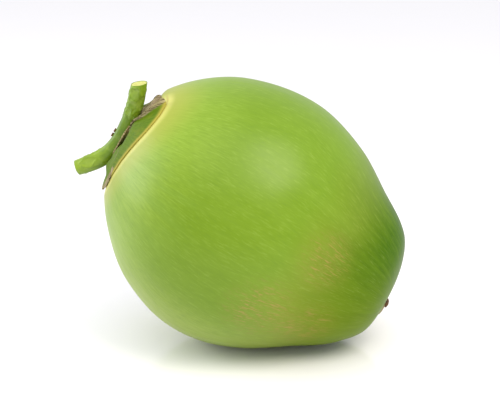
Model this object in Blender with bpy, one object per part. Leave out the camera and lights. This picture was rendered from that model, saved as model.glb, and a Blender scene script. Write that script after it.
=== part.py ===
"""A green coconut lying on its side, with its calyx and a cut length of rachilla.

The rachilla is the thin branch of the flower stalk that the fruit grew on.  It is cut on both
sides of the fruit.  The calyx is the leathery cap of three outer sepals over three inner petals.

Frame: +Z is up and the floor is z = 0.  The origin is on the flat spot that the husk rests on.
The fruit's long axis lies in the XZ plane, its stem end towards -X, and tips down towards +X.
Every piece is modelled in the fruit's own frame, where X is the long axis and the origin is the
fruit's middle, and hangs from an empty that tilts and lifts that frame.
"""

from math import acos
from math import atan2
from math import cos
from math import pi
from math import radians
from math import sin

import bmesh
import bpy
from mathutils import Matrix
from mathutils import Vector

# The husk, in metres
HUSK_RADIUS = 0.085          # greatest radius, across the long axis
HUSK_HALF_LENGTH = 0.100     # middle to either end
STEM_END_RISE = 0.0065       # how far the stem end sits above the long axis
TIP_END_RISE = 0.0035        # the same for the blossom end's shoulders
TIP_DROP = 0.0085            # how far the very tip sits below those shoulders
TIP_DROP_ANGLE = radians(30) # where the drop begins, as an angle from the tip
RIDGE_DEPTH = 0.045          # share of the radius that the three blunt ridges rise and fall
STEM_FLAT = 0.0085           # how far the stem end is flattened under the calyx
TIP_NUB = 0.0012             # how far the blossom end's small nub stands out
TIP_NUB_ANGLE = radians(10)  # the nub's edge, as an angle from the blossom end
TILT = radians(30)           # how far the blossom end tips down
REST_DEPTH = 0.0012          # how much the skin gives where the fruit rests

# How full the husk is beside a plain ellipsoid, by the angle in degrees from the stem end
HUSK_FULLNESS = (
    (0, 1.20),
    (30, 1.035),
    (60, 1.02),
    (90, 1.00),
    (112, 0.933),
    (130, 0.87),
    (146, 0.93),
    (160, 1.06),
    (180, 1.35),
)

# The calyx.  Its angles are counted from the husk's stem end, its turns from straight up.
# Each sepal is (turn and tip's angle in degrees, thickness), and each petal (turn, tip's angle).
SEPALS = ((40, 24.5, 0.0022), (180, 26.9, 0.0048), (289, 31.5, 0.0022))
PETALS = ((0, 23.0), (120, 22.5), (240, 22.5))
SEAT_RIM = radians(27.0)          # the edge of the husk's flat end, where the calyx sits
TEPAL_BASE = radians(5.6)         # where sepals and petals begin, round the rachilla
PETALS_END = radians(23.8)        # past here no petal lies under a sepal
SEPALS_DOWN = radians(27.0)       # where a sepal has come down to the husk
SEPAL_HALF_SPAN = radians(53)
PETAL_HALF_SPAN = radians(56)
PETAL_THICKNESS = 0.0013
LEAF_SWELL = 1.8                  # how quickly a leaf thickens away from its base
TEPAL_GRID = (12, 8)              # faces across a leaf and along it
THIN_EDGE = 0.0007
SEPAL_CORNER = 0.16               # share of a sepal's length lost at its rounded corners
PETAL_CORNER = 0.12

# The bracteoles, two small dry scales beside the rachilla
BRACTEOLE_TURNS = (-90, 90)
BRACTEOLE_RIM = radians(10.0)
BRACTEOLE_HALF_SPAN = radians(34)
BRACTEOLE_THICKNESS = 0.0008
BRACTEOLE_HEIGHT = 0.0028         # its underside's height above the sepals' undersides

# The rachilla: (x, z, radius) along its middle, from the upper cut to the lower one
RACHILLA_ROUTE = (
    (-0.1065, 0.0400, 0.0052),
    (-0.1017, 0.0240, 0.0053),
    (-0.1001, 0.0100, 0.0048),
    (-0.1003, -0.0042, 0.0052),
    (-0.1045, -0.0165, 0.0056),
    (-0.1144, -0.0299, 0.0052),
)
RACHILLA_STEPS = 5           # rings between two points of the route
RACHILLA_SIDES = 16
ROUTE_SAMPLES = 500          # places tried when looking for a height on the rachilla
FOOT_RADIUS = 0.0055         # the short foot that joins the rachilla to the husk
FOOT_LENGTH = 0.008          # from the husk to inside the rachilla
FOOT_NARROWING = 0.8         # its far end's radius beside its near one's

# Dry bract scales on the rachilla's outer side, by the height of their middle
SCALE_HEIGHTS = (0.0050, 0.0016)
SCALE_SIZE = (0.0007, 0.0016, 0.0013)

# The dried stigma on the nub
STIGMA_SIZE = (0.0012, 0.0026, 0.0030)
STIGMA_PLACE = radians(3)    # how far above the very tip it sits

GAP = 0.0003                 # clearance between pieces that touch
ALMOST_NOTHING = 0.001       # an angle beside the stem end's pole, where the skin's slope is defined
HUSK_SEGMENTS = 64
HUSK_RINGS = 44

HUSK_COLOUR = (0.262, 0.445, 0.033)
SEPAL_COLOUR = (0.168, 0.262, 0.040)
PETAL_COLOUR = (0.342, 0.262, 0.060)
RACHILLA_COLOUR = (0.170, 0.305, 0.035)
DRY_COLOUR = (0.171, 0.087, 0.035)
STIGMA_COLOUR = (0.060, 0.033, 0.014)


def clear_scene():
    for item in list(bpy.data.objects):
        bpy.data.objects.remove(item, do_unlink=True)


def ease(value):
    """Go smoothly from 0 to 1 as value goes from 0 to 1."""
    value = min(max(value, 0.0), 1.0)
    return value * value * (3 - 2 * value)


def smooth_through(points, place):
    """Read a smooth curve through (place, value) points, level at both ends."""
    slopes = [0.0]
    for before, after in zip(points, points[2:]):
        slopes.append((after[1] - before[1]) / (after[0] - before[0]))
    slopes.append(0.0)
    index = 0
    while index < len(points) - 2 and place > points[index + 1][0]:
        index += 1
    start, end = points[index], points[index + 1]
    width = end[0] - start[0]
    t = (place - start[0]) / width
    rise = (2 * t ** 3 - 3 * t ** 2 + 1) * start[1] + (3 * t ** 2 - 2 * t ** 3) * end[1]
    bend = (t ** 3 - 2 * t ** 2 + t) * slopes[index] + (t ** 3 - t ** 2) * slopes[index + 1]
    return rise + bend * width


def turned_about_y(vector, angle):
    return Matrix.Rotation(angle, 3, "Y") @ vector


def husk_point(direction):
    """Place a point of the unit sphere on the husk's skin, in the fruit's frame."""
    from_stem = acos(min(max(-direction.x, -1.0), 1.0))
    around = atan2(direction.y, direction.z)
    along = cos(from_stem)
    radius = HUSK_RADIUS * sin(from_stem) * smooth_through(HUSK_FULLNESS, from_stem * 180 / pi)
    radius *= 1 + RIDGE_DEPTH * sin(from_stem / 2) ** 4 * cos(3 * around)
    rise = (STEM_END_RISE if along > 0 else TIP_END_RISE) * along ** 2
    flatten = STEM_FLAT * ease(1 - (1 - along) / (1 - cos(SEAT_RIM)))
    from_tip = pi - from_stem
    rise -= TIP_DROP * ease(1 - from_tip / TIP_DROP_ANGLE)
    nub = TIP_NUB * ease(1 - from_tip / TIP_NUB_ANGLE)
    x = -HUSK_HALF_LENGTH * along + flatten + nub
    return Vector((x, radius * sin(around), radius * cos(around) + rise))


def skin_place(angle, turn):
    """Place a point of the husk's skin, by its angle from the stem end and its turn from the top."""
    return husk_point(Vector((-cos(angle), sin(angle) * sin(turn), sin(angle) * cos(turn))))


def above_skin(angle, turn, height):
    """Place a point a given height above the husk's skin."""
    step = radians(1)
    lengthways = skin_place(angle + step, turn) - skin_place(angle - step, turn)
    sideways = skin_place(angle, turn + step) - skin_place(angle, turn - step)
    normal = lengthways.cross(sideways).normalized()
    point = skin_place(angle, turn)
    if normal.dot(point) < 0:
        normal.negate()
    return point + height * normal


def make_material(name, colour, roughness):
    material = bpy.data.materials.new(name)
    material.use_nodes = True
    shader = material.node_tree.nodes["Principled BSDF"]
    shader.inputs["Base Color"].default_value = (*colour, 1)
    shader.inputs["Roughness"].default_value = roughness
    shader.inputs["Metallic"].default_value = 0
    return material


def add_piece(name, bm, material, parent):
    """Turn a bmesh into a named, smooth-shaded object under the fruit's empty."""
    bmesh.ops.recalc_face_normals(bm, faces=bm.faces[:])
    if bm.calc_volume(signed=True) < 0:
        bmesh.ops.reverse_faces(bm, faces=bm.faces[:])
    mesh = bpy.data.meshes.new(name)
    bm.to_mesh(mesh)
    bm.free()
    mesh.shade_smooth()
    mesh.set_sharp_from_angle(angle=radians(40))
    mesh.materials.append(material)
    piece = bpy.data.objects.new(name, mesh)
    bpy.context.collection.objects.link(piece)
    piece.parent = parent
    return piece


def make_husk(material, parent):
    """Shape a sphere into the husk, and cut it level where it rests."""
    bm = bmesh.new()
    bmesh.ops.create_uvsphere(bm, u_segments=HUSK_SEGMENTS, v_segments=HUSK_RINGS, radius=1)
    for vert in bm.verts:
        vert.co = husk_point(turned_about_y(vert.co, -pi / 2).normalized())
    lowest = min(turned_about_y(vert.co, TILT).z for vert in bm.verts)
    floor = turned_about_y(Vector((0, 0, lowest + REST_DEPTH)), -TILT)
    down = turned_about_y(Vector((0, 0, -1)), -TILT)
    everything = bm.verts[:] + bm.edges[:] + bm.faces[:]
    cut = bmesh.ops.bisect_plane(bm, geom=everything, plane_co=floor, plane_no=down, clear_outer=True)
    rim = [item for item in cut["geom_cut"] if isinstance(item, bmesh.types.BMEdge)]
    bmesh.ops.edgeloop_fill(bm, edges=rim)
    parent.rotation_euler = (0, TILT, 0)
    parent.location = (0, 0, -lowest - REST_DEPTH)
    return add_piece("husk", bm, material, parent)


def make_tepal(name, material, parent, turn, tip, half_span, corner, under, thickness):
    """Make one leaf of the calyx as a curved shell, thinning to its edges."""
    bm = bmesh.new()
    bmesh.ops.create_grid(bm, x_segments=TEPAL_GRID[0], y_segments=TEPAL_GRID[1], size=1)
    extruded = bmesh.ops.extrude_face_region(bm, geom=bm.faces[:], use_keep_orig=True)
    top = {item for item in extruded["geom"] if isinstance(item, bmesh.types.BMVert)}
    for vert in bm.verts:
        across, along = vert.co.x, (vert.co.y + 1) / 2
        reach = tip - (tip - TEPAL_BASE) * corner * across ** 4
        angle = TEPAL_BASE + (reach - TEPAL_BASE) * along
        height = under(angle)
        if vert in top:
            fullness = (1 - across ** 4) * (1 - along ** 3) * ease(LEAF_SWELL * along)
            height += THIN_EDGE + (thickness - THIN_EDGE) * fullness
        vert.co = above_skin(angle, turn + half_span * across, height)
    return add_piece(name, bm, material, parent)


def above_husk(angle):
    """The height of the petals' underside."""
    return GAP


def above_petals(angle):
    """The height of the sepals' underside, which comes down to the husk past the petals."""
    come_down = ease((angle - PETALS_END) / (SEPALS_DOWN - PETALS_END))
    return GAP + (PETAL_THICKNESS + GAP) * (1 - come_down)


def above_sepals(angle):
    """The height of the bracteoles' underside."""
    return above_petals(angle) + BRACTEOLE_HEIGHT


def make_calyx(parent):
    """Make the inner petals, and the outer sepals that cover the joins between them."""
    petal_skin = make_material("petal_skin", PETAL_COLOUR, 0.6)
    for number, (turn, tip) in enumerate(PETALS, 1):
        make_tepal(f"petal_{number}", petal_skin, parent, radians(turn), radians(tip),
                   PETAL_HALF_SPAN, PETAL_CORNER, above_husk, PETAL_THICKNESS)
    sepal_skin = make_material("sepal_skin", SEPAL_COLOUR, 0.5)
    for number, (turn, tip, thickness) in enumerate(SEPALS, 1):
        make_tepal(f"sepal_{number}", sepal_skin, parent, radians(turn), radians(tip),
                   SEPAL_HALF_SPAN, SEPAL_CORNER, above_petals, thickness)


def make_bracteoles(parent):
    """Make the two small scales that lie on the sepals beside the rachilla."""
    material = make_material("bracteole_skin", DRY_COLOUR, 0.8)
    for number, turn in enumerate(BRACTEOLE_TURNS, 1):
        make_tepal(f"bracteole_{number}", material, parent, radians(turn), BRACTEOLE_RIM,
                   BRACTEOLE_HALF_SPAN, SEPAL_CORNER, above_sepals, BRACTEOLE_THICKNESS)


def route_ring(place):
    """Read the rachilla's smooth route: its middle, its direction and its radius."""
    step = 0.01
    columns = [[(index, point[axis]) for index, point in enumerate(RACHILLA_ROUTE)] for axis in range(3)]
    last = len(RACHILLA_ROUTE) - 1
    inner = min(max(place, step), last - step)
    middle, before, after = [
        Vector((smooth_through(columns[0], where), 0, smooth_through(columns[1], where)))
        for where in (place, inner - step, inner + step)
    ]
    return middle, (after - before).normalized(), smooth_through(columns[2], place)


def make_rachilla(material, parent):
    """Bend a round bar along the route, and join on the foot that holds the fruit."""
    bm = bmesh.new()
    bmesh.ops.create_cone(bm, cap_ends=True, segments=RACHILLA_SIDES, radius1=1, radius2=1, depth=1)
    last = len(RACHILLA_ROUTE) - 1
    lengths = [edge for edge in bm.edges if abs(edge.verts[0].co.z - edge.verts[1].co.z) > GAP]
    bmesh.ops.subdivide_edges(bm, edges=lengths, cuts=last * RACHILLA_STEPS - 1)
    sideways = Vector((0, 1, 0))
    for vert in bm.verts:
        middle, forward, radius = route_ring((vert.co.z + 0.5) * last)
        outward = forward.cross(sideways)
        vert.co = middle + radius * (vert.co.x * sideways + vert.co.y * outward)
    rachilla = add_piece("rachilla", bm, material, parent)
    foot = make_foot(material, parent)
    join = rachilla.modifiers.new("join_foot", "BOOLEAN")
    join.operation = "UNION"
    join.solver = "EXACT"
    join.object = foot
    return rachilla


def make_foot(material, parent):
    """Make the foot as a guide for the union: a short peg from the husk into the rachilla."""
    bm = bmesh.new()
    bmesh.ops.create_cone(bm, cap_ends=True, segments=RACHILLA_SIDES, radius1=FOOT_RADIUS,
                          radius2=FOOT_RADIUS * FOOT_NARROWING, depth=FOOT_LENGTH)
    stand = Matrix.Translation(above_skin(ALMOST_NOTHING, 0, GAP))
    stand @= Matrix.Rotation(-pi / 2, 4, "Y")
    stand @= Matrix.Translation((0, 0, FOOT_LENGTH / 2))
    bmesh.ops.transform(bm, matrix=stand, verts=bm.verts[:])
    foot = add_piece("foot_guide", bm, material, parent)
    foot.hide_render = True
    foot.display_type = "WIRE"
    return foot


def make_pebble(name, material, parent, size, middle):
    """Make a small dry scrap as a stretched ball."""
    bm = bmesh.new()
    bmesh.ops.create_icosphere(bm, subdivisions=2, radius=1)
    for vert in bm.verts:
        vert.co = Vector((vert.co.x * size[0], vert.co.y * size[1], vert.co.z * size[2])) + middle
    return add_piece(name, bm, material, parent)


def outer_side_of_rachilla(height):
    """Find the point of the rachilla's outer side at a height in the fruit's frame."""
    points = []
    for sample in range(ROUTE_SAMPLES):
        middle, forward, radius = route_ring((len(RACHILLA_ROUTE) - 1) * sample / (ROUTE_SAMPLES - 1))
        points.append(middle - radius * forward.cross(Vector((0, 1, 0))))
    return min(points, key=lambda point: abs(point.z - height))


def make_scales(parent):
    material = make_material("bract_scale_skin", DRY_COLOUR, 0.85)
    for number, height in enumerate(SCALE_HEIGHTS, 1):
        middle = outer_side_of_rachilla(height) - Vector((SCALE_SIZE[0] + GAP, 0, 0))
        make_pebble(f"bract_scale_{number}", material, parent, SCALE_SIZE, middle)


def make_stigma(parent):
    """Make the dried stigma, just clear of the nub at the blossom end."""
    material = make_material("stigma_skin", STIGMA_COLOUR, 0.85)
    middle = above_skin(pi - STIGMA_PLACE, 0, STIGMA_SIZE[0] + GAP)
    make_pebble("dried_stigma", material, parent, STIGMA_SIZE, middle)


def main():
    clear_scene()
    fruit_frame = bpy.data.objects.new("fruit_frame", None)
    bpy.context.collection.objects.link(fruit_frame)
    make_husk(make_material("husk_skin", HUSK_COLOUR, 0.35), fruit_frame)
    make_calyx(fruit_frame)
    make_bracteoles(fruit_frame)
    make_rachilla(make_material("rachilla_skin", RACHILLA_COLOUR, 0.45), fruit_frame)
    make_scales(fruit_frame)
    make_stigma(fruit_frame)


main()
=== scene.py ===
"""The looks of a green coconut that lies on its side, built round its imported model.

The fruit's own frame has X along its long axis, from the stem end to the blossom end, and its
origin at the fruit's middle.  Each piece is shaped there and then placed on the floor by one
matrix, which tilts and lifts that frame.  Angles on the skin are counted from the stem end, and
turns go round the long axis from straight up towards +Y.
"""

from math import acos, atan2, cos, exp, pi, radians, sin, sqrt

import bmesh
import bpy
from bpy.props import FloatProperty, FloatVectorProperty, PointerProperty
from mathutils import Matrix, Vector, noise


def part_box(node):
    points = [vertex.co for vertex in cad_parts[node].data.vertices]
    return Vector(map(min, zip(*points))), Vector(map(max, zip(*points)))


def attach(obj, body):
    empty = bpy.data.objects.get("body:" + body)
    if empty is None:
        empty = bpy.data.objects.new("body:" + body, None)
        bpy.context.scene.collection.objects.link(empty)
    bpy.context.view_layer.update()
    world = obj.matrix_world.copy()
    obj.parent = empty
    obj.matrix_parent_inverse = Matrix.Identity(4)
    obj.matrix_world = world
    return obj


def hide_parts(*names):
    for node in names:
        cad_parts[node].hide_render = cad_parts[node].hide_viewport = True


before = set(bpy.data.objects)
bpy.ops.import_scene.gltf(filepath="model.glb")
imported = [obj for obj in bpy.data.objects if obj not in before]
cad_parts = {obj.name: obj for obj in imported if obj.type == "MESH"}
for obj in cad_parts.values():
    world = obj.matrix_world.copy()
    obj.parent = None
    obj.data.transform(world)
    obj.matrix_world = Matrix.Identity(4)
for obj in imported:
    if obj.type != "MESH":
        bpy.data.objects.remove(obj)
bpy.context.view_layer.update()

bl_info = {
    "name": "Green coconut",
    "version": (1, 0, 0),
    "blender": (4, 5, 0),
    "location": "3D View > Sidebar > Coconut",
    "description": "Builds a green coconut with its calyx and a cut length of rachilla",
    "category": "Add Mesh",
}

# How full the husk is beside a plain ellipsoid, by the angle in degrees from the stem end
HUSK_FULLNESS = (
    (0, 1.20),
    (30, 1.035),
    (60, 1.02),
    (90, 1.00),
    (112, 0.933),
    (130, 0.87),
    (146, 0.93),
    (160, 1.06),
    (180, 1.35),
)

# The rachilla: (x, z, radius) along its middle, from the upper cut to the lower one
RACHILLA_ROUTE = (
    (-0.1065, 0.0400, 0.0052),
    (-0.1017, 0.0240, 0.0053),
    (-0.1001, 0.0100, 0.0048),
    (-0.1003, -0.0042, 0.0052),
    (-0.1045, -0.0165, 0.0056),
    (-0.1144, -0.0299, 0.0052),
)


def ease(value):
    """Go smoothly from 0 to 1 as value goes from 0 to 1."""
    value = min(max(value, 0.0), 1.0)
    return value * value * (3 - 2 * value)


def bell(value, width):
    """Fall smoothly from 1 at 0 to nearly 0 past the width."""
    return exp(-(value / width) ** 2)


def smooth_through(points, place):
    """Read a smooth curve through (place, value) points, level at both ends."""
    slopes = [0.0]
    for before, after in zip(points, points[2:]):
        slopes.append((after[1] - before[1]) / (after[0] - before[0]))
    slopes.append(0.0)
    index = 0
    while index < len(points) - 2 and place > points[index + 1][0]:
        index += 1
    start, end = points[index], points[index + 1]
    width = end[0] - start[0]
    t = (place - start[0]) / width
    rise = (2 * t ** 3 - 3 * t ** 2 + 1) * start[1] + (3 * t ** 2 - 2 * t ** 3) * end[1]
    bend = (t ** 3 - 2 * t ** 2 + t) * slopes[index] + (t ** 3 - t ** 2) * slopes[index + 1]
    return rise + bend * width


# Sizes and colours that a user would change

def colour(hex_code):
    """Turn an sRGB hex colour into the linear one that a shader wants."""
    channels = []
    for start in (1, 3, 5):
        value = int(hex_code[start:start + 2], 16) / 255
        channels.append(value / 12.92 if value <= 0.04045 else ((value + 0.055) / 1.055) ** 2.4)
    return (*channels, 1)


def shade(label, meaning, hex_code):
    """Make a colour setting from an sRGB hex colour."""
    return FloatVectorProperty(name=label, description=meaning, default=colour(hex_code)[:3], size=3,
                               subtype="COLOR", min=0, max=1)


def length(label, meaning, metres):
    """Make a length setting."""
    return FloatProperty(name=label, description=meaning, default=metres, unit="LENGTH", precision=4)


def slope(label, meaning, degrees):
    """Make an angle setting."""
    return FloatProperty(name=label, description=meaning, default=radians(degrees), subtype="ANGLE")


class HuskSizes(bpy.types.PropertyGroup):
    radius: length("Radius", "Greatest radius across the long axis", 0.085)
    half_length: length("Half length", "From the middle to either end", 0.100)
    stem_rise: length("Stem end rise", "How far the stem end sits above the axis", 0.0065)
    tip_rise: length("Shoulder rise", "How far the blossom end's shoulders sit above the axis", 0.0035)
    tip_drop: length("Tip drop", "How far the very tip sits below its shoulders", 0.0085)
    tip_drop_angle: slope("Tip drop angle", "Where the drop begins", 30)
    ridge_depth: FloatProperty(name="Ridges",
                               description="Share of the radius that the three ridges rise and fall",
                               default=0.045, min=0, max=0.2)
    seat_flat: length("Seat", "How far the stem end is flattened under the calyx", 0.0085)
    seat_angle: slope("Seat angle", "The edge of the calyx's seat", 27)
    nub: length("Nub", "How far the nub at the tip stands out", 0.0016)
    nub_radius: length("Nub radius", "Radius of the nub at the tip", 0.0062)
    tilt: slope("Tilt", "How far the blossom end tips down", 30)


class CalyxSizes(bpy.types.PropertyGroup):
    sepal_thickness: length("Sepal thickness", "Thickness of a sepal at its middle", 0.0022)
    petal_thickness: length("Petal thickness", "Thickness of a petal at its middle", 0.0013)
    thin_edge: length("Edge", "Thickness of a leaf at its margin", 0.0006)
    base_angle: slope("Base", "Where the leaves begin round the rachilla", 5.0)


class SkinColours(bpy.types.PropertyGroup):
    collar: shade("Collar", "Skin beside the calyx", "#9DA33E")
    light: shade("Light skin", "Skin of the stem half", "#83A12E")
    green: shade("Green skin", "Skin round the middle", "#6B8B05")
    olive: shade("Olive skin", "Skin towards the blossom end", "#819413")
    dark: shade("Dark skin", "Skin at the blossom end", "#345A05")
    # Painted shade: the darker green laid on the upper side of the skin
    shaded_top: shade("Shaded top skin", "Skin on the side that faced the sun", "#648806")
    # Painted light: the paler skin laid on the underside stands in for the floor's bounce
    under: shade("Under skin", "Skin on the side that lies down", "#ACBA58")


class StageSettings(bpy.types.PropertyGroup):
    azimuth: slope("Azimuth", "Turn of the camera round the object", 8)
    elevation: slope("Elevation", "Height of the camera above level", 16)
    distance: FloatProperty(name="Distance", description="From the camera to the point it looks at",
                            default=1.0, unit="LENGTH")
    aim_height: length("Aim height", "Height of the point that the camera looks at", 0.0888)
    lens: FloatProperty(name="Lens", description="Focal length in millimetres", default=112.4, min=1)


class CoconutSettings(bpy.types.PropertyGroup):
    husk: PointerProperty(type=HuskSizes)
    calyx: PointerProperty(type=CalyxSizes)
    colours: PointerProperty(type=SkinColours)
    stage: PointerProperty(type=StageSettings)


# The husk's shape, which every other piece stands on

def husk_point(sizes, angle, turn):
    """Place a point of the husk's skin in the fruit's frame."""
    along = cos(angle)
    from_tip = pi - angle
    radius = sizes.radius * sin(angle) * smooth_through(HUSK_FULLNESS, angle * 180 / pi)
    radius *= 1 + sizes.ridge_depth * sin(angle / 2) ** 4 * cos(3 * turn)
    rise = (sizes.stem_rise if along > 0 else sizes.tip_rise) * along ** 2
    rise -= sizes.tip_drop * ease(1 - from_tip / sizes.tip_drop_angle)
    flatten = sizes.seat_flat * ease(1 - (1 - along) / (1 - cos(sizes.seat_angle)))
    x = -sizes.half_length * along + flatten
    if from_tip < pi / 6:
        x += nub_height(sizes, radius)
    return Vector((x, radius * sin(turn), radius * cos(turn) + rise))


def nub_height(sizes, radius):
    """Raise the small round nub at the tip, with a groove round it and a dip in its middle."""
    edge = radius / sizes.nub_radius
    nub = ease(1.6 - edge * 1.1)
    groove = bell(edge - 1.45, 0.45)
    dip = bell(edge, 0.45)
    return sizes.nub * (nub - 0.35 * groove - 0.45 * dip)


def skin_normal(sizes, angle, turn):
    """Find the way out of the skin at a place."""
    step = radians(0.6)
    lengthways = husk_point(sizes, angle + step, turn) - husk_point(sizes, angle - step, turn)
    sideways = husk_point(sizes, angle, turn + step) - husk_point(sizes, angle, turn - step)
    normal = lengthways.cross(sideways).normalized()
    if normal.dot(husk_point(sizes, angle, turn)) < 0:
        normal.negate()
    return normal


def above_skin(sizes, angle, turn, height):
    """Place a point a given height above the skin."""
    return husk_point(sizes, angle, turn) + height * skin_normal(sizes, angle, turn)


def fruit_placing(sizes):
    """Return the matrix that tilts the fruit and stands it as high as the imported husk."""
    tilt = Matrix.Rotation(sizes.tilt, 4, "Y")
    highest = max((tilt @ husk_point(sizes, radians(angle), 0)).z for angle in range(30, 150))
    return Matrix.Translation((0, 0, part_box("husk")[1][2] - highest)) @ tilt


# The calyx's leaves: one row of facts for each

class Leaf:
    """One sepal, petal or bracteole, as a curved shell on the stem end."""

    def __init__(self, name, layer, turn, half_span, tip, **more):
        self.name = name
        self.layer = layer
        self.turn = radians(turn)
        self.half_span = radians(half_span)
        self.tip = radians(tip)
        self.peak = radians(more.get("peak", 0))
        self.apex = radians(more.get("apex", 0))
        self.corner = more.get("corner", 0.2)
        self.keel = more.get("keel", 0)
        self.dry = more.get("dry", (0.02, 0.02, 0.02))
        self.roll = more.get("roll", (0, 0))
        self.lift = more.get("lift", (0, 0))
        self.flare = more.get("flare", (0.85, 0.85))
        self.curl = more.get("curl", 0)
        self.seed = more["seed"]


# Pairs hold the start side's value and the end side's: dry is how wide the dried strips are (with
# the tip's third), roll how wide the curled ones, lift how far a side rides over its neighbour,
# and flare the width at the base beside that at the rim.  A keel is how high the middle swells,
# and a curl how far the rim stands up.
SEPALS = (
    Leaf("sepal_1", "sepal", 38, 62, 21.2, corner=0.15, keel=0.0046, dry=(0.7, 0.05, 0.6),
         lift=(0.0004, 0), seed=3),
    Leaf("sepal_2", "sepal", 181, 78, 26.4, peak=62, apex=3.3, corner=0.03, keel=0.0046,
         dry=(0.05, 0.05, 0.09), lift=(0, 0.0019), flare=(1, 1.22), seed=5),
    Leaf("sepal_3", "sepal", 289, 44, 34.2, peak=30, apex=8.0, corner=0.02, dry=(0.02, 0.17, 0.0),
         roll=(0, 0.13), lift=(0, 0.0014), flare=(1, -0.1), seed=7),
)
PETALS = (
    Leaf("petal_1", "petal", -24, 62, 30.5, peak=-16, apex=11.5, corner=0.1, dry=(0.5, 0.3, 0.7),
         seed=11),
    Leaf("petal_2", "petal", 120, 56, 23.0, seed=13),
    Leaf("petal_3", "petal", 240, 56, 23.0, seed=17),
)
BRACTEOLES = (
    Leaf("bracteole_1", "bracteole", -92, 40, 11.5, corner=0.45, dry=(0.5, 0.5, 0.5), curl=0.0030,
         seed=19),
    Leaf("bracteole_2", "bracteole", 88, 38, 11.0, corner=0.45, dry=(0.5, 0.5, 0.5), curl=0.0036,
         seed=23),
)

# Past a sepal's side the calyx's rim falls back at this slope, and its line on the skin fades out
RIM_FALL = 0.3
RIM_FADE = radians(16)

# How ragged a leaf's rim is: (height in radians, grains across the leaf, layer of the noise)
RIM_RAGGEDNESS = ((0.005, 3.1, 0), (0.003, 11, 5))
APEX_WIDTH = radians(36)

# The calyx's layers: where the petals end, where the sepals come down on the skin, and the gap
# between a leaf and what it lies on, with how much of it closes at the rim
PETALS_END = radians(23.4)
SEPALS_DOWN = radians(26.5)
LEAF_GAP = 0.0003
RIM_CLOSING = 0.00025

# Along a leaf, where its keel is highest and how long it is; across it, where its side lifts
KEEL_PLACE, KEEL_LENGTH = 0.42, 0.22
LIFT_START, LIFT_WIDTH = 0.6, 0.25
WRINKLE_HEIGHT = 0.36
BRACTEOLE_BASE = radians(6.4)
BRACTEOLE_THICKNESS = 0.0010
# A curled margin's distance from the long axis, over the sine of its angle
CURL_ARM = 0.1

# The leaves' texture map in metres: its radius, its width at the base and the gain, its length
LEAF_MAP_RADIUS = 0.085
LEAF_MAP_BASE = 0.15
LEAF_MAP_GAIN = 0.45
LEAF_MAP_LENGTH = 0.04


def leaf_reach(leaf, across, base):
    """Say how far from the stem end a leaf reaches, at a place across it."""
    ragged = 0.0
    for height, grains, layer in RIM_RAGGEDNESS:
        ragged += height * noise.noise(Vector((across * grains, leaf.seed, layer)))
    pointed = leaf.apex * (1 - bell(across * leaf.half_span - leaf.peak, APEX_WIDTH))
    return leaf.tip - pointed - (leaf.tip - base) * leaf.corner * abs(across) ** 5 + ragged


def calyx_edge(calyx, turn):
    """Find the calyx's rim at a turn, and how far a sepal covers it there, from 0 to 1."""
    best, cover = calyx.base_angle, 0.0
    for leaf in SEPALS:
        offset = (turn - leaf.turn + pi) % (2 * pi) - pi
        past_side = max(abs(offset) - leaf.half_span, 0)
        across = min(max(offset / leaf.half_span, -1), 1)
        edge = leaf_reach(leaf, across, calyx.base_angle) - past_side * RIM_FALL
        if edge > best:
            best, cover = edge, ease(1 - past_side / RIM_FADE)
    return best, cover


def placed_object(name, bm, placing, material):
    """Turn a bmesh into a smooth object whose place is in its mesh."""
    bm.transform(placing)
    bmesh.ops.recalc_face_normals(bm, faces=bm.faces[:])
    if bm.calc_volume(signed=True) < 0:
        bmesh.ops.reverse_faces(bm, faces=bm.faces[:])
    mesh = bpy.data.meshes.new(name)
    bm.to_mesh(mesh)
    bm.free()
    mesh.shade_smooth()
    mesh.set_sharp_from_angle(angle=radians(50))
    mesh.materials.append(material)
    piece = bpy.data.objects.new(name, mesh)
    bpy.context.collection.objects.link(piece)
    return piece


def declare(piece, node):
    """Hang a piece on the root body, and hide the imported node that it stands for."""
    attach(piece, "root")
    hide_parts(node)


# Materials

def add_node(tree, kind, inputs=None, **settings):
    """Add a node with its settings, and set or link its inputs."""
    node = tree.nodes.new(kind)
    for name, value in settings.items():
        setattr(node, name, value)
    for name, value in (inputs or {}).items():
        if isinstance(value, bpy.types.NodeSocket):
            tree.links.new(value, node.inputs[name])
        else:
            node.inputs[name].default_value = value
    return node


def new_material(name):
    """Make a material, and return it with its node tree and its shader."""
    material = bpy.data.materials.new(name)
    material.use_nodes = True
    tree = material.node_tree
    return material, tree, tree.nodes["Principled BSDF"]


def set_ramp(ramp, stops):
    """Fill a colour ramp with (place, colour) stops."""
    elements = ramp.color_ramp.elements
    while len(elements) > 1:
        elements.remove(elements[-1])
    elements[0].position, elements[0].color = stops[0]
    for place, tone in stops[1:]:
        elements.new(place).color = tone


def fruit_coordinates(tree, placing):
    """Read object coordinates in the fruit's own frame."""
    place = add_node(tree, "ShaderNodeTexCoord").outputs["Object"]
    turned = add_node(tree, "ShaderNodeMapping", {"Vector": place}, vector_type="TEXTURE")
    turned.inputs["Location"].default_value = placing.to_translation()
    turned.inputs["Rotation"].default_value = placing.to_euler()
    return turned.outputs["Vector"]


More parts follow.
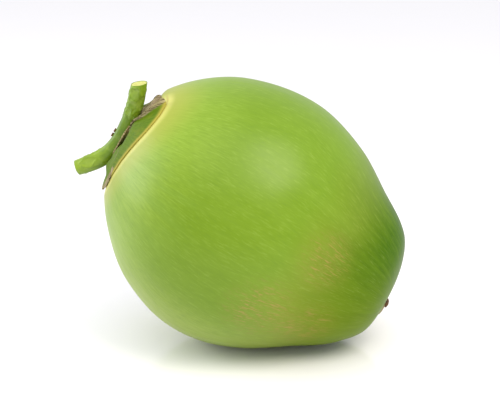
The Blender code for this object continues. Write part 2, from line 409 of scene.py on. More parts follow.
def meridian_noise(tree, fruit, round_size, long_size, radius, detail=2.0, seed=0.0):
    """Make noise drawn out along the meridians: its grains are round_size wide and long_size long."""
    flat = add_node(tree, "ShaderNodeVectorMath", {0: fruit, 1: (0, 1, 1)}, operation="MULTIPLY")
    unit = add_node(tree, "ShaderNodeVectorMath", {0: flat.outputs[0]}, operation="NORMALIZE")
    lengthways = {0: fruit, 1: (1 / long_size, 0, 0)}
    along = add_node(tree, "ShaderNodeVectorMath", lengthways, operation="MULTIPLY")
    drawn = add_node(
        tree,
        "ShaderNodeVectorMath",
        {0: unit.outputs[0], 1: (0, radius / round_size, radius / round_size), 2: along.outputs[0]},
        operation="MULTIPLY_ADD",
    )
    grain = add_node(
        tree,
        "ShaderNodeTexNoise",
        {"Vector": drawn.outputs[0], "W": seed, "Scale": 1.0, "Detail": detail, "Roughness": 0.55},
        noise_dimensions="4D",
    )
    return grain.outputs["Fac"]


def spread(tree, value, low, high, to_low=0.0, to_high=1.0, smooth=True):
    """Stretch a range of values to another one."""
    node = add_node(
        tree,
        "ShaderNodeMapRange",
        {"Value": value, "From Min": low, "From Max": high, "To Min": to_low, "To Max": to_high},
        interpolation_type="SMOOTHSTEP" if smooth else "LINEAR",
    )
    return node.outputs["Result"]


def blend_colour(tree, factor, under, over, mode="MIX"):
    """Lay one colour over another."""
    node = add_node(tree, "ShaderNodeMix", data_type="RGBA", blend_type=mode)
    sockets = {"Factor_Float": factor, "A_Color": under, "B_Color": over}
    by_identifier = {socket.identifier: socket for socket in node.inputs}
    for identifier, value in sockets.items():
        if isinstance(value, bpy.types.NodeSocket):
            tree.links.new(value, by_identifier[identifier])
        else:
            by_identifier[identifier].default_value = value
    return next(socket for socket in node.outputs if socket.identifier == "Result_Color")


def times(tree, first, second):
    """Multiply two values."""
    return add_node(tree, "ShaderNodeMath", {0: first, 1: second}, operation="MULTIPLY").outputs[0]


def nearness(tree, place, centre, reach):
    """Fade from 1 at a place in the fruit's frame to 0 at a distance from it."""
    ends = {0: place, 1: centre}
    away = add_node(tree, "ShaderNodeVectorMath", ends, operation="DISTANCE").outputs["Value"]
    return spread(tree, away, reach, reach * 0.3)


# Marks on the skin: a place in the fruit's frame and how far round it the mark fades out
SCUFFS = (
    ((0.030, -0.074, -0.022), 0.030),
    ((0.058, -0.052, -0.022), 0.026),
    ((0.052, -0.066, 0.024), 0.026),
)
BRUISE = ((-0.058, -0.066, -0.002), 0.045)


def husk_skin(sizes, colours, placing):
    """Living husk skin: waxy, smooth, and marked by the fibres that run under it."""
    material, tree, shader = new_material("waxy_green_husk_skin")
    fruit = fruit_coordinates(tree, placing)
    split = add_node(tree, "ShaderNodeSeparateXYZ", {0: fruit})

    # The skin's colour drifts from light at the stem end to dark at the blossom end
    drift = meridian_noise(tree, fruit, 0.050, 0.080, sizes.radius, 1.0, 4.0)
    shift = {0: drift, 1: 0.030, 2: split.outputs["X"]}
    drifted = add_node(tree, "ShaderNodeMath", shift, operation="MULTIPLY_ADD").outputs[0]
    place = spread(tree, drifted, -0.085, 0.115, smooth=False)
    ramp = add_node(tree, "ShaderNodeValToRGB", {"Fac": place})
    set_ramp(ramp, (
        (0.0, (*colours.light, 1)),
        (0.16, (*colours.light, 1)),
        (0.32, (*colours.green, 1)),
        (0.62, (*colours.green, 1)),
        (0.76, (*colours.olive, 1)),
    ))
    # Painted shade: the skin turns darker green towards the top
    shaded_top = spread(tree, split.outputs["Z"], 0.020, 0.085, 0.0, 0.45)
    green = blend_colour(tree, shaded_top, ramp.outputs["Color"], (*colours.shaded_top, 1))
    # The dark green at the blossom end is the skin's own tone; its growing stronger towards the top is
    # painted shade
    end = spread(tree, drifted, 0.033, 0.098)
    upper = spread(tree, split.outputs["Z"], -0.030, 0.050, 0.45, 1.0)
    skin = blend_colour(tree, times(tree, end, upper), green, (*colours.dark, 1))

    # Painted light: the skin turns paler towards the underside, standing in for the floor's bounce
    under = spread(tree, split.outputs["Z"], -0.030, -0.080, 0.0, 0.6)
    skin = blend_colour(tree, under, skin, (*colours.under, 1))

    # Fine fibre streaks, and broader bands that give the skin its brushed look
    fine = meridian_noise(tree, fruit, 0.0009, 0.006, sizes.radius, 3.0, 1.0)
    broad = meridian_noise(tree, fruit, 0.0055, 0.030, sizes.radius, 3.0, 2.0)
    skin = blend_colour(tree, spread(tree, fine, 0.45, 0.75, 0.0, 0.42), skin, colour("#5E7E14"))
    skin = blend_colour(tree, spread(tree, fine, 0.50, 0.25, 0.0, 0.15), skin, colour("#B4C86A"))
    skin = blend_colour(tree, spread(tree, broad, 0.35, 0.70, 0.0, 0.15), skin, colour("#7E9C2A"))

    # Rubbed patches, where dead brown fibres show through, and one darker bruise
    for centre, reach in SCUFFS:
        near = nearness(tree, fruit, centre, reach)
        rubbed = times(tree, near, spread(tree, fine, 0.50, 0.64, 0.05, 0.60))
        skin = blend_colour(tree, rubbed, skin, colour("#A8884A"))
    bruise = times(tree, nearness(tree, fruit, *BRUISE), spread(tree, broad, 0.40, 0.68, 0.0, 0.22))
    skin = blend_colour(tree, bruise, skin, colour("#5E8420"))

    # Corky skin round the nub: a pale grey ring with brown dead tissue inside it
    from_tip = add_node(tree, "ShaderNodeAttribute", attribute_name="from_tip").outputs["Fac"]
    uneven = {0: broad, 1: 0.004, 2: from_tip}
    corky = add_node(tree, "ShaderNodeMath", uneven, operation="MULTIPLY_ADD").outputs[0]
    skin = blend_colour(tree, spread(tree, corky, 0.0125, 0.0105, 0.0, 0.75), skin, colour("#B4BC9E"))
    skin = blend_colour(tree, spread(tree, corky, 0.0100, 0.0070, 0.0, 0.85), skin, colour("#85744E"))

    # The pale collar beside the calyx, and the thin ochre line where they touch
    past = add_node(tree, "ShaderNodeAttribute", attribute_name="past_calyx").outputs["Fac"]
    collar = spread(tree, past, 0.022, 0.0, 0.0, 0.9)
    skin = blend_colour(tree, collar, skin, (*colours.collar, 1))
    cover = add_node(tree, "ShaderNodeAttribute", attribute_name="rim_cover").outputs["Fac"]
    pale = times(tree, cover, spread(tree, past, 0.005, 0.001, 0.0, 0.45))
    skin = blend_colour(tree, pale, skin, colour("#E2DC84"))
    either_side = add_node(tree, "ShaderNodeMath", {0: past}, operation="ABSOLUTE").outputs[0]
    dead = spread(tree, past, -0.0015, -0.0060, 0.0, 0.9)
    skin = blend_colour(tree, dead, skin, colour("#726A38"))
    line = times(tree, cover, spread(tree, either_side, 0.0010, 0.0, 0.0, 0.8))
    skin = blend_colour(tree, line, skin, colour("#A8984A"))

    tree.links.new(skin, shader.inputs["Base Color"])
    sheen = spread(tree, broad, 0.3, 0.7, 0.34, 0.42)
    tree.links.new(sheen, shader.inputs["Roughness"])
    shader.inputs["IOR"].default_value = 1.40
    tree.links.new(spread(tree, end, 0.0, 1.0, 0.5, 0.1), shader.inputs["Specular IOR Level"])
    bump = add_node(tree, "ShaderNodeBump", {"Height": fine, "Strength": 0.12, "Distance": 0.0003})
    tree.links.new(bump.outputs["Normal"], shader.inputs["Normal"])
    return material


def leaf_skin(name, flesh_hex, dry_hex, rim_hex):
    """Leathery calyx leaf: veined flesh that dries along its margins, with a thin ochre rim."""
    material, tree, shader = new_material(name)
    place = add_node(tree, "ShaderNodeUVMap", uv_map="leaf").outputs["UV"]
    stretched = add_node(tree, "ShaderNodeMapping", {"Vector": place, "Scale": (1100, 90, 1)})
    veins = add_node(
        tree,
        "ShaderNodeTexNoise",
        {"Vector": stretched.outputs[0], "Scale": 1.0, "Detail": 3.0, "Roughness": 0.6},
    ).outputs["Fac"]
    blotch = add_node(
        tree,
        "ShaderNodeTexNoise",
        {"Vector": place, "Scale": 160.0, "Detail": 3.0, "Roughness": 0.6},
    ).outputs["Fac"]
    veined = spread(tree, veins, 0.35, 0.70, 0.0, 0.6)
    flesh = blend_colour(tree, veined, colour(flesh_hex[0]), colour(flesh_hex[1]))
    flesh = blend_colour(tree, spread(tree, blotch, 0.45, 0.75, 0.0, 0.5), flesh, colour(flesh_hex[2]))
    rim = add_node(tree, "ShaderNodeAttribute", attribute_name="rim").outputs["Fac"]
    flesh = blend_colour(tree, spread(tree, rim, 0.15, 0.8, 0.0, 0.9), flesh, colour(rim_hex))
    dried = add_node(tree, "ShaderNodeAttribute", attribute_name="dryness").outputs["Fac"]
    patchy = {0: blotch, 1: 0.5, 2: dried}
    uneven = add_node(tree, "ShaderNodeMath", patchy, operation="MULTIPLY_ADD").outputs[0]
    brown = blend_colour(tree, spread(tree, veins, 0.42, 0.58), colour(dry_hex[0]), colour(dry_hex[1]))
    flesh = blend_colour(tree, spread(tree, uneven, 0.45, 0.80), flesh, brown)
    tree.links.new(flesh, shader.inputs["Base Color"])
    tree.links.new(spread(tree, uneven, 0.4, 0.9, 0.55, 0.85), shader.inputs["Roughness"])
    shader.inputs["IOR"].default_value = 1.40
    shader.inputs["Specular IOR Level"].default_value = 0.25
    bump = add_node(tree, "ShaderNodeBump", {"Height": veins, "Strength": 0.5, "Distance": 0.0003})
    tree.links.new(bump.outputs["Normal"], shader.inputs["Normal"])
    return material


def rachilla_bark():
    """Fresh rachilla: smooth green bark with pale flower scars, and pale fibrous cut ends."""
    material, tree, shader = new_material("fresh_green_rachilla_bark")
    place = add_node(tree, "ShaderNodeUVMap", uv_map="branch").outputs["UV"]
    long_grain = add_node(tree, "ShaderNodeMapping", {"Vector": place, "Scale": (900, 120, 1)})
    grain = add_node(
        tree,
        "ShaderNodeTexNoise",
        {"Vector": long_grain.outputs[0], "Scale": 1.0, "Detail": 3.0, "Roughness": 0.6},
    ).outputs["Fac"]
    patches = add_node(
        tree,
        "ShaderNodeTexNoise",
        {"Vector": place, "Scale": 140.0, "Detail": 2.0, "Roughness": 0.5},
    ).outputs["Fac"]
    grained = spread(tree, grain, 0.35, 0.70, 0.0, 0.6)
    bark = blend_colour(tree, grained, colour("#7C9A1C"), colour("#4E7010"))
    bark = blend_colour(tree, spread(tree, patches, 0.50, 0.66, 0.0, 0.5), bark, colour("#9FB558"))
    scar = add_node(tree, "ShaderNodeAttribute", attribute_name="scar").outputs["Fac"]
    bark = blend_colour(tree, spread(tree, scar, 0.1, 0.8, 0.0, 0.35), bark, colour("#93AC48"))
    ridge = add_node(tree, "ShaderNodeAttribute", attribute_name="scar_edge").outputs["Fac"]
    bark = blend_colour(tree, spread(tree, ridge, 0.3, 0.9, 0.0, 0.22), bark, colour("#4A6A1A"))
    # Painted light: one side of the lower arm is made lighter and yellower, standing in for light from
    # above
    lower = add_node(tree, "ShaderNodeAttribute", attribute_name="lit_lower_arm").outputs["Fac"]
    bark = blend_colour(tree, spread(tree, lower, 0.0, 1.0, 0.0, 0.20), bark, colour("#A6BA34"))
    # Painted shade: the bark turns deeper green round the foot, where the branch meets the husk
    foot_shade = add_node(tree, "ShaderNodeAttribute", attribute_name="foot_shade").outputs["Fac"]
    bark = blend_colour(tree, spread(tree, foot_shade, 0.0, 1.0, 0.0, 0.55), bark, colour("#426608"))
    cut = add_node(tree, "ShaderNodeAttribute", attribute_name="cut_face").outputs["Fac"]
    object_place = add_node(tree, "ShaderNodeTexCoord").outputs["Object"]
    pores = add_node(
        tree,
        "ShaderNodeTexNoise",
        {"Vector": object_place, "Scale": 1600.0, "Detail": 2.0},
    ).outputs["Fac"]
    flesh = blend_colour(tree, spread(tree, pores, 0.35, 0.65), colour("#CDCE84"), colour("#B3B45E"))
    bark = blend_colour(tree, spread(tree, cut, 0.3, 0.7), bark, flesh)
    tree.links.new(bark, shader.inputs["Base Color"])
    tree.links.new(spread(tree, cut, 0.3, 0.7, 0.42, 0.75), shader.inputs["Roughness"])
    shader.inputs["IOR"].default_value = 1.45
    bump = add_node(tree, "ShaderNodeBump", {"Height": grain, "Strength": 0.45, "Distance": 0.0004})
    tree.links.new(bump.outputs["Normal"], shader.inputs["Normal"])
    return material


def dry_scrap(name, light, dark, grain_size):
    """Dried plant tissue: matt, wrinkled and brown."""
    material, tree, shader = new_material(name)
    place = add_node(tree, "ShaderNodeTexCoord").outputs["Object"]
    grain = add_node(
        tree,
        "ShaderNodeTexNoise",
        {"Vector": place, "Scale": 1 / grain_size, "Detail": 4.0, "Roughness": 0.6},
    ).outputs["Fac"]
    tissue = blend_colour(tree, spread(tree, grain, 0.35, 0.65), colour(dark), colour(light))
    tree.links.new(tissue, shader.inputs["Base Color"])
    shader.inputs["Roughness"].default_value = 0.85
    bump = add_node(tree, "ShaderNodeBump", {"Height": grain, "Strength": 0.6, "Distance": 0.0004})
    tree.links.new(bump.outputs["Normal"], shader.inputs["Normal"])
    return material


def white_sweep():
    """White studio acrylic: smooth, with a gloss that faintly mirrors what stands on it."""
    material, tree, shader = new_material("white_acrylic_sweep")
    place = add_node(tree, "ShaderNodeTexCoord").outputs["Object"]
    haze = add_node(tree, "ShaderNodeTexNoise", {"Vector": place, "Scale": 6.0}).outputs["Fac"]
    tree.links.new(spread(tree, haze, 0.3, 0.7, 0.10, 0.14), shader.inputs["Roughness"])
    shader.inputs["Base Color"].default_value = (0.94, 0.925, 0.99, 1)
    return material


# Operators: one for each piece or group of like pieces, and one for the stage

# The husk's mesh has its rings crowded towards both ends
RING_CROWDING = 0.35
# The corky spot's middle, from the very tip
CORKY_OFFSET = (0, -0.0045, 0.0015)
# The pale collar reaches this much further at the top of the calyx
COLLAR_TOP_GAIN = 0.8
# The skin swells unevenly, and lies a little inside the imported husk
SKIN_SWELL = 0.0005
SKIN_INSET = 0.00022
# How far above the floor the skin starts to ease into its flat
SETTLE_HEIGHT = 0.0006

class COCONUT_OT_husk(bpy.types.Operator):
    """Make the husk with its ridges, the calyx's seat and the nub at the tip"""
    bl_idname = "coconut.husk"
    bl_label = "Husk"

    def execute(self, context):
        settings = context.scene.coconut
        sizes = settings.husk
        placing = fruit_placing(sizes)
        bm = bmesh.new()
        bmesh.ops.create_uvsphere(bm, u_segments=240, v_segments=200, radius=1)
        past_calyx = bm.verts.layers.float.new("past_calyx")
        rim_cover = bm.verts.layers.float.new("rim_cover")
        from_tip = bm.verts.layers.float.new("from_tip")
        corky_middle = husk_point(sizes, pi, 0) + Vector(CORKY_OFFSET)
        for vert in bm.verts:
            angle = acos(min(max(-vert.co.z, -1.0), 1.0))
            angle -= RING_CROWDING * sin(2 * angle) / 2
            turn = atan2(vert.co.y, vert.co.x)
            edge, vert[rim_cover] = calyx_edge(settings.calyx, turn)
            collar_reach = 1 + COLLAR_TOP_GAIN * max(cos(turn), 0)
            vert[past_calyx] = sizes.half_length * (angle - edge) / collar_reach
            point = husk_point(sizes, angle, turn)
            vert[from_tip] = (point - corky_middle).length
            swell = sin(angle) * (SKIN_SWELL * noise.noise(point * 30) - SKIN_INSET)
            point += swell * point.normalized()
            vert.co = point
        bm.transform(placing)
        settle(bm)
        bm.transform(placing.inverted())
        husk = placed_object("coconut_husk", bm, placing, husk_skin(sizes, settings.colours, placing))
        declare(husk, "husk")
        return {"FINISHED"}


def settle(bm):
    """Press the skin level where it rests on the floor, easing into the curve round it."""
    for vert in bm.verts:
        if vert.co.z < SETTLE_HEIGHT:
            vert.co.z = SETTLE_HEIGHT * exp((vert.co.z - SETTLE_HEIGHT) / SETTLE_HEIGHT)


def leaf_height(leaf, calyx, angle, along):
    """Say how high above the skin a leaf's underside lies, which is least at its rim."""
    down = ease((angle - PETALS_END) / (SEPALS_DOWN - PETALS_END))
    gap = LEAF_GAP - RIM_CLOSING * along ** 8
    if leaf.layer == "petal":
        return gap
    over_petals = gap + (calyx.petal_thickness + gap) * (1 - down)
    if leaf.layer == "sepal":
        return over_petals
    return over_petals + calyx.sepal_thickness + gap


def shape_leaf(leaf, settings, placing, material, cuts, thickness):
    """Shape one leaf of the calyx: a shell that thins to its margins, which wrinkle and roll."""
    sizes, calyx = settings.husk, settings.calyx
    bm = bmesh.new()
    bmesh.ops.create_grid(bm, x_segments=cuts[0], y_segments=cuts[1], size=1)
    dryness = bm.verts.layers.float.new("dryness")
    rim = bm.verts.layers.float.new("rim")
    leaf_map = bm.loops.layers.uv.new("leaf")
    base = BRACTEOLE_BASE if leaf.layer == "bracteole" else calyx.base_angle
    for face in bm.faces:
        for loop in face.loops:
            across, along = loop.vert.co.x, (loop.vert.co.y + 1) / 2
            width = LEAF_MAP_RADIUS * (LEAF_MAP_BASE + LEAF_MAP_GAIN * along) * leaf.half_span
            loop[leaf_map].uv = (across * width + leaf.seed, along * LEAF_MAP_LENGTH)
    extruded = bmesh.ops.extrude_face_region(bm, geom=bm.faces[:], use_keep_orig=True)
    top = {item for item in extruded["geom"] if isinstance(item, bmesh.types.BMVert)}
    for vert in bm.verts:
        across, along = vert.co.x, (vert.co.y + 1) / 2
        reach = leaf_reach(leaf, across, base)
        angle = base + (reach - base) * along
        end = 1 if across > 0 else 0
        flare = leaf.flare[end] * (1 - along ** 2) + along ** 2
        turn = leaf.turn + leaf.half_span * across * flare
        height = leaf_height(leaf, calyx, angle, along) + leaf.curl * along
        if vert in top:
            fullness = (1 - abs(across) ** 5) * (1 - along ** 4) * ease(0.3 + 2 * along)
            height += calyx.thin_edge + (thickness - calyx.thin_edge) * fullness
            height += leaf.keel * bell(along - KEEL_PLACE, KEEL_LENGTH) * (1 - across ** 2)
        lifted = ease((abs(across) - LIFT_START) / LIFT_WIDTH)
        height += leaf.lift[end] * lifted * (1 - along ** 3)
        side, tip = leaf.dry[end], leaf.dry[2]
        side_dried = ease((abs(across) - 1 + side) / side)
        tip_dried = ease((along - 1 + tip) / (tip + 0.001))
        dried = max(side_dried, tip_dried)
        wrinkle = noise.noise(Vector((across * 9, along * 5, leaf.seed)))
        height += WRINKLE_HEIGHT * thickness * dried * (0.4 + wrinkle)
        roll = leaf.roll[end]
        if roll > 0 and abs(across) > 1 - roll:
            arm = CURL_ARM * sin(angle)
            turn, height = curl_margin(turn, height, across, along, roll, arm, leaf)
        vert.co = above_skin(sizes, angle, turn, height)
        vert[dryness] = dried
        vert[rim] = along ** 24
    return placed_object(leaf.name.replace("_", "_leaf_"), bm, placing, material)


def curl_margin(turn, height, across, along, roll, arm, leaf):
    """Curl a leaf's side margin outwards, more towards its tip."""
    share = (abs(across) - 1 + roll) / roll
    amount = ease(along * 2 - 0.6)
    width = roll * leaf.half_span * arm
    curl = share * pi * 0.9
    radius = width / (pi * 0.9)
    back = (share * width - radius * sin(curl)) * amount
    turn -= back / arm if across > 0 else -back / arm
    return turn, height + radius * (1 - cos(curl)) * amount


def make_leaves(context, leaves, material, cuts, thickness):
    """Make the calyx leaves of one kind."""
    settings = context.scene.coconut
    placing = fruit_placing(settings.husk)
    for leaf in leaves:
        piece = shape_leaf(leaf, settings, placing, material, cuts, thickness)
        declare(piece, leaf.name)
    return {"FINISHED"}


class COCONUT_OT_petals(bpy.types.Operator):
    """Make the three inner petals of the calyx"""
    bl_idname = "coconut.petals"
    bl_label = "Petals"

    def execute(self, context):
        thickness = context.scene.coconut.calyx.petal_thickness
        flesh, dry = ("#8F8A4C", "#6E6A3A", "#9A7F5C"), ("#54432E", "#A39470")
        material = leaf_skin("drying_petal", flesh, dry, "#8A7444")
        return make_leaves(context, PETALS, material, (40, 24), thickness)


class COCONUT_OT_sepals(bpy.types.Operator):
    """Make the three outer sepals of the calyx"""
    bl_idname = "coconut.sepals"
    bl_label = "Sepals"

    def execute(self, context):
        thickness = context.scene.coconut.calyx.sepal_thickness
        flesh, dry = ("#5A760A", "#3A5808", "#747E12"), ("#4E4228", "#A69B76")
        material = leaf_skin("leathery_green_sepal", flesh, dry, "#A89C40")
        return make_leaves(context, SEPALS, material, (64, 36), thickness)


class COCONUT_OT_bracteoles(bpy.types.Operator):
    """Make the two small scales beside the rachilla's foot"""
    bl_idname = "coconut.bracteoles"
    bl_label = "Bracteoles"

    def execute(self, context):
        flesh, dry = ("#8E8A50", "#74703C", "#A59A70"), ("#6C5A38", "#A89870")
        material = leaf_skin("papery_bracteole", flesh, dry, "#6A5A36")
        return make_leaves(context, BRACTEOLES, material, (36, 18), BRACTEOLE_THICKNESS)


def route_place(place):
    """Read the rachilla's smooth route: its middle, direction and radius at a place."""
    columns = [[(index, point[axis]) for index, point in enumerate(RACHILLA_ROUTE)] for axis in range(3)]
    last = len(RACHILLA_ROUTE) - 1
    step = 0.01
    inner = min(max(place, step), last - step)
    ends = []
    for where in (inner - step, inner + step, place):
        ends.append(Vector((smooth_through(columns[0], where), 0, smooth_through(columns[1], where))))
    return ends[2], (ends[1] - ends[0]).normalized(), smooth_through(columns[2], place)


class COCONUT_OT_rachilla(bpy.types.Operator):
    """Make the cut branch, with its grooves, flower scars and pale cut ends"""
    bl_idname = "coconut.rachilla"
    bl_label = "Rachilla"

    def execute(self, context):
        settings = context.scene.coconut
        placing = fruit_placing(settings.husk)
        branch = shape_branch(placing)
        foot = shape_foot(settings.husk, placing)
        join_shapes(branch, foot)
        declare(branch, "rachilla")
        return {"FINISHED"}


# How far the upper cut leans from square: slopes along the calyx and across it
TOP_CUT_SLANTS = (-0.32, -0.14)

# Flower scars on the branch: (place along the route, turn in degrees, radius in metres)
FLOWER_SCARS = (
    (0.50, 196, 0.0030),
    (0.78, 150, 0.0034),
    (1.15, 205, 0.0026),
    (1.6, 330, 0.0030),
    (0.8, 20, 0.0032),
    (4.35, 200, 0.0026),
    (4.0, 340, 0.0032),
)
# Metres along one step of the route, and round one radian of the branch, where scars are measured
ROUTE_STEP = 0.015
BRANCH_RADIUS = 0.0045

PIT_DEPTH = 0.0006
PIT_RIM_HEIGHT = 0.0004
GROOVE_DEPTH = 0.020
BARK_LUMPS = 0.03
# A cut end sinks to its middle, its face is fibrous, and its sharp edge is worn down
CUT_SINK = 0.0006
CUT_FIBRES = 0.00025
CUT_EDGE_DROP = 0.0006

# The foot's radii on the skin and under the branch, its length, and its gap to the skin
FOOT_RADII = (0.0064, 0.0044)
FOOT_LENGTH = 0.0078
FOOT_GAP = 0.0003
# Just off the pole, where the skin's normal can be found
POLE_STEP = 0.001


def shape_branch(placing):
    """Bend a tube along the route, and work its bark and its cut ends."""
    bm = bmesh.new()
    bmesh.ops.create_cone(bm, cap_ends=True, segments=56, radius1=1, radius2=1, depth=1)
    caps = [face for face in bm.faces if len(face.verts) > 4]
    lengths = [edge for edge in bm.edges if abs(edge.verts[0].co.z - edge.verts[1].co.z) > 0.5]
    bmesh.ops.subdivide_edges(bm, edges=lengths, cuts=119)
    for thickness in (0.10, 0.25, 0.30):
        bmesh.ops.inset_region(bm, faces=caps, thickness=thickness, use_even_offset=True)
    cut_face = bm.verts.layers.float.new("cut_face")
    scar = bm.verts.layers.float.new("scar")
    scar_edge = bm.verts.layers.float.new("scar_edge")
    lit_lower_arm = bm.verts.layers.float.new("lit_lower_arm")
    foot_shade = bm.verts.layers.float.new("foot_shade")
    branch_map = bm.loops.layers.uv.new("branch")
    last = len(RACHILLA_ROUTE) - 1
    spots = []
    for vert in bm.verts:
        share = min(vert.co.xy.length, 1.0)
        spots.append((vert, atan2(vert.co.y, vert.co.x), share, (vert.co.z + 0.5) * last))
    for vert, turn, share, place in spots:
        middle, forward, radius = route_place(place)
        sideways = Vector((0, 1, 0))
        outward = forward.cross(sideways)
        radial = cos(turn) * sideways + sin(turn) * outward
        end = min(place, last - place)
        flare = 1 - 0.05 * bell(end, 0.35)
        lumps = noise.noise(Vector((cos(turn), sin(turn), place)) * 1.3)
        groove = GROOVE_DEPTH * sin(5 * turn + 0.8 * sin(place)) + BARK_LUMPS * lumps
        pit, rim = scar_depth(turn, place)
        size = radius * flare * (1 + groove) - PIT_DEPTH * pit + PIT_RIM_HEIGHT * rim
        sink = CUT_SINK * (1 - share) ** 0.5 if share < 0.999 else 0.0
        fibre = CUT_FIBRES * noise.noise(radial * share * 9)
        inward = 1 if place < last / 2 else -1
        slope = TOP_CUT_SLANTS[0] * sin(turn) + TOP_CUT_SLANTS[1] * cos(turn)
        slant = slope * bell(place, 0.5) * size * share
        vert.co = middle + size * share * radial + slant * forward
        if share < 0.999:
            vert.co += forward * inward * (sink + fibre)
        elif end < 0.001:
            vert.co += forward * inward * CUT_EDGE_DROP
        vert[cut_face] = 1.0 if share < 0.93 else 0.0
        vert[scar] = pit
        vert[scar_edge] = rim
        # Painted shade: how much the bark round the foot is darkened
        vert[foot_shade] = bell(place - 2.2, 1.0)
        # Painted light: how much one side of the lower arm is lightened
        vert[lit_lower_arm] = ease((place - 3.1) / 1.2) * (0.5 + 0.5 * cos(turn - radians(220)))
    for face in bm.faces:
        for loop in face.loops:
            loop[branch_map].uv = (loop.vert.co.y, loop.vert.co.z)
    return placed_object("cut_rachilla", bm, placing, rachilla_bark())


def scar_depth(turn, place):
    """Say how deep a flower scar is at a place on the branch, and how raised its rim."""
    pit = rim = 0.0
    for where, degrees, size in FLOWER_SCARS:
        away = (turn - radians(degrees) + pi) % (2 * pi) - pi
        ragged = 1 + 0.9 * noise.noise(Vector((away * 1.7, place * 4, degrees)))
        round_it, along_it = away * BRANCH_RADIUS, (place - where) * ROUTE_STEP
        distance = ragged * sqrt(round_it ** 2 + along_it ** 2) / size
        pit = max(pit, ease(1.25 - distance))
        rim = max(rim, bell(distance - 1.15, 0.18))
    return pit, rim


def shape_foot(sizes, placing):
    """Shape the short foot that joins the branch to the husk."""
    bm = bmesh.new()
    bmesh.ops.create_cone(bm, cap_ends=True, segments=40, radius1=FOOT_RADII[0],
                          radius2=FOOT_RADII[1], depth=FOOT_LENGTH)
    stand = Matrix.Translation(above_skin(sizes, POLE_STEP, 0, FOOT_GAP))
    stand @= Matrix.Rotation(-pi / 2, 4, "Y") @ Matrix.Translation((0, 0, FOOT_LENGTH / 2))
    bm.transform(stand)
    return placed_object("foot", bm, placing, bpy.data.materials["fresh_green_rachilla_bark"])


def join_shapes(piece, other):
    """Unite another shape with a piece, and remove it."""
    union = piece.modifiers.new("union", "BOOLEAN")
    union.operation = "UNION"
    union.solver = "EXACT"
    union.object = other
    evaluated = piece.evaluated_get(bpy.context.evaluated_depsgraph_get())
    joined = bpy.data.meshes.new_from_object(evaluated)
    piece.modifiers.clear()
    piece.data = joined
    bpy.data.objects.remove(other, do_unlink=True)


# Half sizes of the dried scraps, along the fruit and across it, and the scraps' shift from the
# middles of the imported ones
SCRAP_SIZE = (0.0007, 0.0016, 0.0013)
SCRAP_SHIFT = (0.0008, 0, 0)
# The stigma: half sizes, its angle and turn on the skin, and its middle's height above it
STIGMA_SIZE = (0.0009, 0.0026, 0.0030)
STIGMA_PLACE = (pi - radians(2.6), radians(-25))
STIGMA_HEIGHT = 0.0006


class COCONUT_OT_bract_scales(bpy.types.Operator):
    """Make the two dried scraps on the rachilla's outer side"""
    bl_idname = "coconut.bract_scales"
    bl_label = "Bract scales"

    def execute(self, context):
        placing = fruit_placing(context.scene.coconut.husk)
        material = dry_scrap("dried_bract", "#8A6A44", "#4E3824", 0.0012)
        for number in (1, 2):
            node = f"bract_scale_{number}"
            low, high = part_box(node)
            middle = placing.inverted() @ ((Vector(low) + Vector(high)) / 2) + Vector(SCRAP_SHIFT)
            piece = shape_scrap(f"dried_bract_{number}", middle, SCRAP_SIZE, number, placing, material)
            declare(piece, node)
        return {"FINISHED"}


def shape_scrap(name, middle, size, seed, placing, material):
    """Shape a small crumpled scrap of dried tissue round its middle."""
    bm = bmesh.new()
    bmesh.ops.create_icosphere(bm, subdivisions=4, radius=1)
    for vert in bm.verts:
        crumple = 1 + 0.35 * noise.noise(vert.co * 2.2 + Vector((seed * 7, 0, 0)))
        cup = 0.5 * (vert.co.y ** 2 + vert.co.z ** 2)
        point = Vector((vert.co.x - cup, vert.co.y, vert.co.z)) * crumple
        vert.co = Vector((point.x * size[0], point.y * size[1], point.z * size[2])) + middle
    return placed_object(name, bm, placing, material)


class COCONUT_OT_stigma(bpy.types.Operator):
    """Make the dried three-lobed stigma on the nub at the blossom end"""
    bl_idname = "coconut.stigma"
    bl_label = "Dried stigma"

    def execute(self, context):
        placing = fruit_placing(context.scene.coconut.husk)
        material = dry_scrap("dried_stigma_tissue", "#6E4C2C", "#33241A", 0.0010)
        sizes = context.scene.coconut.husk
        stand = Matrix.Translation(above_skin(sizes, *STIGMA_PLACE, STIGMA_HEIGHT))
        stand @= skin_normal(sizes, *STIGMA_PLACE).to_track_quat("X", "Z").to_matrix().to_4x4()
        piece = shape_scrap("stigma_scab", Vector(), STIGMA_SIZE, 5, placing @ stand, material)
        declare(piece, "dried_stigma")
        return {"FINISHED"}


# The stage: the middle of the fruit, the way to each soft light from it as shares of the camera's
# right, up and back, and how far away it stands
FRUIT_MIDDLE = (0, 0, 0.08)
KEY_WAY, KEY_DISTANCE = (0.46, 0.59, 0.67), 1.1
SIDE_WAY, SIDE_DISTANCE = (-0.93, 0.35, -0.09), 1.2
OVERHEAD_PLACE = (0, -0.9, 1.8)
CAMERA_SHIFT = (-0.0041, 0.0119)
TENT_BRIGHTNESS = 0.91


def aim(item, target):
    """Turn a light or the camera to look at a point."""
    item.rotation_euler = (Vector(target) - item.location).to_track_quat("-Z", "Y").to_euler()


def camera_axes(azimuth, elevation):
    """Return the camera's right, up and back directions."""
    back = Vector((sin(azimuth) * cos(elevation), -cos(azimuth) * cos(elevation), sin(elevation)))
    right = Vector((cos(azimuth), sin(azimuth), 0))
    return right, back.cross(right), back


def way_along(axes, shares):
    """Mix the camera's directions into one."""
    return (shares[0] * axes[0] + shares[1] * axes[1] + shares[2] * axes[2]).normalized()


def add_softbox(name, place, target, size, power, tint=(1, 1, 1)):
    """Add a rectangular area light that looks at a point."""
    light = bpy.data.lights.new(name, "AREA")
    light.shape = "RECTANGLE"
    light.size, light.size_y = size
    light.energy = power
    light.color = tint
    item = bpy.data.objects.new(name, light)
    bpy.context.collection.objects.link(item)
    item.location = place
    aim(item, target)


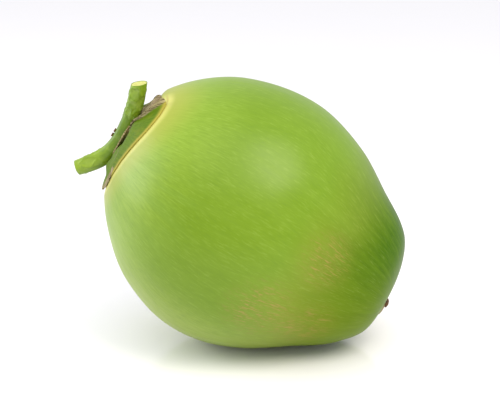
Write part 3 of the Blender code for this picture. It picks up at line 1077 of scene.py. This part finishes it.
class COCONUT_OT_stage(bpy.types.Operator):
    """Set out the white floor, the soft lights and the camera"""
    bl_idname = "coconut.stage"
    bl_label = "Stage"

    def execute(self, context):
        stage = context.scene.coconut.stage
        axes = camera_axes(stage.azimuth, stage.elevation)
        target = Vector((0, 0, stage.aim_height))

        camera = bpy.data.objects.new("camera", bpy.data.cameras.new("camera"))
        context.collection.objects.link(camera)
        camera.location = target + stage.distance * axes[2]
        aim(camera, target)
        camera.data.lens = stage.lens
        camera.data.clip_start = 0.01
        camera.data.shift_x, camera.data.shift_y = CAMERA_SHIFT
        context.scene.camera = camera

        bm = bmesh.new()
        bmesh.ops.create_grid(bm, x_segments=8, y_segments=8, size=4)
        mesh = bpy.data.meshes.new("white_sweep")
        bm.to_mesh(mesh)
        bm.free()
        mesh.materials.append(white_sweep())
        floor = bpy.data.objects.new("white_sweep", mesh)
        context.collection.objects.link(floor)

        middle = Vector(FRUIT_MIDDLE)
        key = middle + KEY_DISTANCE * way_along(axes, KEY_WAY)
        side = middle + SIDE_DISTANCE * way_along(axes, SIDE_WAY)
        add_softbox("overhead_softbox", Vector(OVERHEAD_PLACE), Vector((0, 0, 0)), (1.8, 1.8), 10.0)
        add_softbox("key_softbox", key, middle, (0.62, 0.62), 8.0, (1.0, 0.93, 0.76))
        add_softbox("side_softbox", side, middle, (0.7, 0.7), 6.5)

        world = bpy.data.worlds.new("white_light_tent")
        context.scene.world = world
        world.use_nodes = True
        background = world.node_tree.nodes["Background"]
        background.inputs["Color"].default_value = (1, 1, 1, 1)
        background.inputs["Strength"].default_value = TENT_BRIGHTNESS
        context.scene.view_settings.view_transform = "Standard"
        return {"FINISHED"}


class COCONUT_PT_panel(bpy.types.Panel):
    """Lists the pieces of the coconut"""
    bl_idname = "COCONUT_PT_panel"
    bl_label = "Green coconut"
    bl_space_type = "VIEW_3D"
    bl_region_type = "UI"
    bl_category = "Coconut"

    def draw(self, context):
        settings = context.scene.coconut
        for label, group in (("Husk", settings.husk), ("Calyx", settings.calyx),
                             ("Colours", settings.colours), ("Stage", settings.stage)):
            box = self.layout.box()
            box.label(text=label)
            for name in group.__annotations__:
                box.prop(group, name)
        for operator in OPERATORS:
            self.layout.operator(operator.bl_idname)


OPERATORS = (
    COCONUT_OT_husk,
    COCONUT_OT_petals,
    COCONUT_OT_sepals,
    COCONUT_OT_bracteoles,
    COCONUT_OT_rachilla,
    COCONUT_OT_bract_scales,
    COCONUT_OT_stigma,
    COCONUT_OT_stage,
)
CLASSES = (
    HuskSizes,
    CalyxSizes,
    SkinColours,
    StageSettings,
    CoconutSettings,
    *OPERATORS,
    COCONUT_PT_panel,
)


def register():
    for item in CLASSES:
        bpy.utils.register_class(item)
    bpy.types.Scene.coconut = PointerProperty(type=CoconutSettings)


def unregister():
    del bpy.types.Scene.coconut
    for item in reversed(CLASSES):
        bpy.utils.unregister_class(item)


def main():
    register()
    bpy.ops.coconut.husk()
    bpy.ops.coconut.petals()
    bpy.ops.coconut.sepals()
    bpy.ops.coconut.bracteoles()
    bpy.ops.coconut.rachilla()
    bpy.ops.coconut.bract_scales()
    bpy.ops.coconut.stigma()
    bpy.ops.coconut.stage()


if __name__ == "__main__":
    main()
